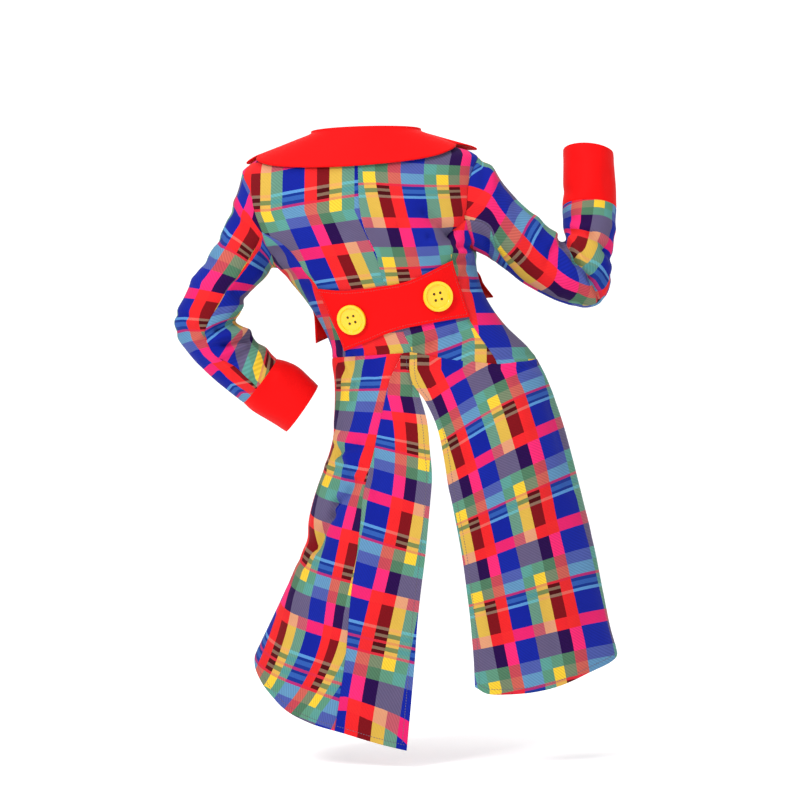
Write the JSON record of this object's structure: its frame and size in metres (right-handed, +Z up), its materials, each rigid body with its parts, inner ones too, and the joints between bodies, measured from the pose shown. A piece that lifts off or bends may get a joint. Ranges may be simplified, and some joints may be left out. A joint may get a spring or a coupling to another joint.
{
  "type": "clown tailcoat, worn",
  "caption": "Clown's plaid tailcoat in its worn pose: waist seam, long vented tails, red collar, lapels, cuffs and half belt, large yellow buttons.",
  "frame": {"origin": "base of the neck opening, midway between the shoulders, where the wearer's neck and shoulders hold the coat", "axes": "+Z up from the tails' hem to the collar, -Y the way the back faces, +X towards the raised right sleeve"},
  "size_m": [0.73, 0.2491, 1.0094],
  "materials": {
    "plaid_body": "matt twill, multicoloured check",
    "plaid_tail": "matt twill, multicoloured check",
    "plaid_sleeve": "matt twill, multicoloured check",
    "red_cloth": "plain satin weave",
    "yellow_plastic": "glossy"
  },
  "bodies": {
    "root": {"back_left": "plaid_body", "back_right": "plaid_body", "side_left": "plaid_body", "side_right": "plaid_body", "front_left": "plaid_body", "front_right": "plaid_body", "tail_left_back": "plaid_tail", "tail_left_side": "plaid_tail", "tail_right": "plaid_tail", "tail_right_side": "plaid_tail", "sleeve_left_top": "plaid_sleeve", "sleeve_left_under": "plaid_sleeve", "sleeve_right_top": "plaid_sleeve", "sleeve_right_under": "plaid_sleeve", "cuff_left": "red_cloth", "cuff_right": "red_cloth", "collar": "red_cloth", "lapel_left": "red_cloth", "lapel_right": "red_cloth", "half_belt": "red_cloth", "button_left": "yellow_plastic", "button_right": "yellow_plastic"}
  },
  "joints": []
}
